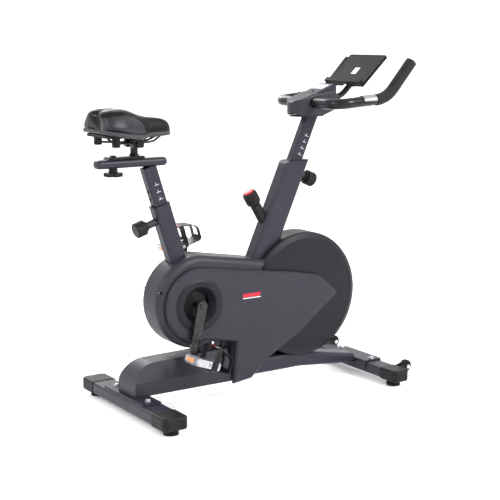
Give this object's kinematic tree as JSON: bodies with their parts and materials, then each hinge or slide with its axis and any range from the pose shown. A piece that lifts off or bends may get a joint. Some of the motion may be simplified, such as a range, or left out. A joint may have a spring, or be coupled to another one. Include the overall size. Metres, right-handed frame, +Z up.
{
  "type": "exercise bike",
  "caption": "Belt-drive indoor exercise bike with enclosed flywheel, sliding saddle and handlebar, tablet holder, toe-clip pedals and transport wheels.",
  "frame": {"origin": "on the floor under the middle of the bike's box", "axes": "+X forward, the way the rider faces; +Y to the rider's left; +Z up"},
  "size_m": [1.1324, 0.576, 1.1367],
  "materials": {
    "frame_paint": "satin charcoal powder coat",
    "gloss_paint": "glossy black paint",
    "cover_plastic": "satin charcoal moulding",
    "disc_plastic": "matte near-black moulding",
    "black_plastic": "fine-grained black moulding",
    "rubber": "matte rubber",
    "foam": "foam grip",
    "saddle_leather": "soft black leatherette",
    "steel": "zinc-plated steel",
    "crank_paint": "black painted crank",
    "alloy": "cast alloy",
    "sensor_chrome": "bright plate",
    "iron": "machined cast iron",
    "screen": "pale display window"
  },
  "bodies": {
    "frame": {"base_beam": "frame_paint", "seat_tube": "frame_paint", "front_post": "frame_paint", "drive_bearings": "steel", "guide_sleeves": "black_plastic", "rear_stabilizer": "frame_paint", "front_stabilizer": "frame_paint", "mount_plates": "frame_paint", "frame_fasteners": "steel", "end_caps": "black_plastic", "drive_belt": "rubber", "idler_arm": "steel", "tension_tube": "black_plastic", "right_chain_cover": "cover_plastic", "left_chain_cover": "cover_plastic", "right_side_panel": "cover_plastic", "left_side_panel": "cover_plastic", "crank_bezels": "disc_plastic", "right_flywheel_cover": "disc_plastic", "left_flywheel_cover": "disc_plastic", "rear_beam_cover": "cover_plastic"},
    "crank": {"crank_axle": "steel", "drive_pulley": "black_plastic", "right_crank_arm": "crank_paint", "left_crank_arm": "crank_paint", "pedal_spindles": "steel"},
    "right_pedal": {"right_pedal": "alloy", "right_toe_clip": "black_plastic"},
    "left_pedal": {"left_pedal": "alloy", "left_toe_clip": "black_plastic"},
    "flywheel": {"flywheel": "iron", "flywheel_axle": "steel"},
    "idler": {"idler_roller": "black_plastic"},
    "brake": {"magnet_bracket": "steel"},
    "push_rod": {"push_rod": "steel"},
    "tension_knob": {"tension_knob": "black_plastic"},
    "seat_post": {"seat_post": "frame_paint"},
    "carriage": {"saddle_carriage": "gloss_paint"},
    "saddle": {"saddle_clamp": "gloss_paint", "saddle_rails": "gloss_paint", "saddle_base": "black_plastic", "saddle_pad": "saddle_leather"},
    "fore_aft_knob": {"fore_aft_knob": "black_plastic"},
    "seat_pin": {"seat_pin_knob": "black_plastic"},
    "handlebar_pin": {"handlebar_pin_knob": "black_plastic"},
    "handlebar": {"handlebar_post": "frame_paint", "handlebar": "gloss_paint", "grips": "foam", "pulse_sensors": "sensor_chrome", "console_cover": "cover_plastic", "display_screen": "screen", "holder_neck": "gloss_paint"},
    "display_button": {"display_button": "black_plastic"},
    "tablet_holder": {"tablet_holder": "black_plastic"},
    "right_transport_wheel": {"right_transport_wheel": "rubber"},
    "left_transport_wheel": {"left_transport_wheel": "rubber"},
    "rear_right_foot": {"rear_right_foot": "rubber"},
    "rear_left_foot": {"rear_left_foot": "rubber"},
    "front_right_foot": {"front_right_foot": "rubber"},
    "front_left_foot": {"front_left_foot": "rubber"}
  },
  "joints": [
    {"name": "flywheel_spin", "type": "hinge", "parent": "frame", "child": "flywheel", "pos_m": [0.1993, 0, 0.325], "axis": [0, 1, 0], "continuous": true},
    {"name": "crank_spin", "type": "hinge", "parent": "frame", "child": "crank", "pos_m": [-0.2387, 0, 0.3444], "axis": [0, 1, 0], "continuous": true},
    {"name": "idler_spin", "type": "hinge", "parent": "frame", "child": "idler", "pos_m": [-0.0072, 0, 0.24902], "axis": [0, 1, 0], "continuous": true},
    {"name": "right_pedal_spin", "type": "hinge", "parent": "crank", "child": "right_pedal", "pos_m": [-0.27549, -0.15, 0.17843], "axis": [0, 1, 0], "continuous": true},
    {"name": "left_pedal_spin", "type": "hinge", "parent": "crank", "child": "left_pedal", "pos_m": [-0.20191, 0.15, 0.51037], "axis": [0, 1, 0], "continuous": true},
    {"name": "push_brake", "type": "slide", "parent": "frame", "child": "push_rod", "axis": [0.5151, 0, -0.8571], "range_m": [0, 0.005], "stiffness_N_per_m": 1500, "springref_m": -0.004},
    {"name": "tension_knob_turn", "type": "hinge", "parent": "push_rod", "child": "tension_knob", "pos_m": [0.0518, 0, 0.6], "axis": [-0.5151, 0, 0.8571], "range_deg": [0, 1080]},
    {"name": "brake_swing", "type": "hinge", "parent": "frame", "child": "brake", "pos_m": [0.0988, 0, 0.458], "axis": [0, 1, 0], "range_deg": [0, 8]},
    {"name": "seat_post_height", "type": "slide", "parent": "frame", "child": "seat_post", "axis": [-0.3057, 0, 0.9521], "range_m": [-0.1, 0.1]},
    {"name": "saddle_fore_aft", "type": "slide", "parent": "seat_post", "child": "carriage", "axis": [1, 0, 0], "range_m": [-0.04, 0.04]},
    {"name": "saddle_tilt", "type": "hinge", "parent": "carriage", "child": "saddle", "pos_m": [-0.4287, 0, 0.872], "axis": [0, 1, 0], "range_deg": [-12, 12]},
    {"name": "fore_aft_knob_turn", "type": "hinge", "parent": "carriage", "child": "fore_aft_knob", "pos_m": [-0.5027, 0, 0.77], "axis": [0, 0, 1], "range_deg": [0, 360]},
    {"name": "seat_pin_pull", "type": "slide", "parent": "frame", "child": "seat_pin", "axis": [-0.9521, 0, -0.3057], "range_m": [0, 0.01], "stiffness_N_per_m": 500, "springref_m": -0.004},
    {"name": "handlebar_pin_pull", "type": "slide", "parent": "frame", "child": "handlebar_pin", "axis": [0.9143, 0, -0.4051], "range_m": [0, 0.01], "stiffness_N_per_m": 500, "springref_m": -0.004},
    {"name": "handlebar_height", "type": "slide", "parent": "frame", "child": "handlebar", "axis": [0.4051, 0, 0.9143], "range_m": [-0.06, 0.04]},
    {"name": "display_button_press", "type": "slide", "parent": "handlebar", "child": "display_button", "axis": [0.3671, 0, -0.9302], "range_m": [0, 0.0012], "stiffness_N_per_m": 300, "springref_m": -0.001},
    {"name": "tablet_holder_tilt", "type": "hinge", "parent": "handlebar", "child": "tablet_holder", "pos_m": [0.4276, 0, 1.0391], "axis": [0, 1, 0], "range_deg": [-15, 25]},
    {"name": "right_transport_wheel_spin", "type": "hinge", "parent": "frame", "child": "right_transport_wheel", "pos_m": [0.5228, -0.208, 0.058], "axis": [0, 1, 0], "continuous": true},
    {"name": "left_transport_wheel_spin", "type": "hinge", "parent": "frame", "child": "left_transport_wheel", "pos_m": [0.5228, 0.208, 0.058], "axis": [0, 1, 0], "continuous": true},
    {"name": "rear_right_foot_level", "type": "slide", "parent": "frame", "child": "rear_right_foot", "axis": [0, 0, 1], "range_m": [-0.012, 0]},
    {"name": "rear_left_foot_level", "type": "slide", "parent": "frame", "child": "rear_left_foot", "axis": [0, 0, 1], "range_m": [-0.012, 0]},
    {"name": "front_right_foot_level", "type": "slide", "parent": "frame", "child": "front_right_foot", "axis": [0, 0, 1], "range_m": [-0.012, 0]},
    {"name": "front_left_foot_level", "type": "slide", "parent": "frame", "child": "front_left_foot", "axis": [0, 0, 1], "range_m": [-0.012, 0]}
  ],
  "couplings": [
    {"joint": "crank_spin", "follows": "flywheel_spin", "ratio": 0.2381},
    {"joint": "idler_spin", "follows": "flywheel_spin", "ratio": -1.3889},
    {"joint": "brake_swing", "follows": "tension_knob_turn", "ratio": 0.0074074}
  ]
}
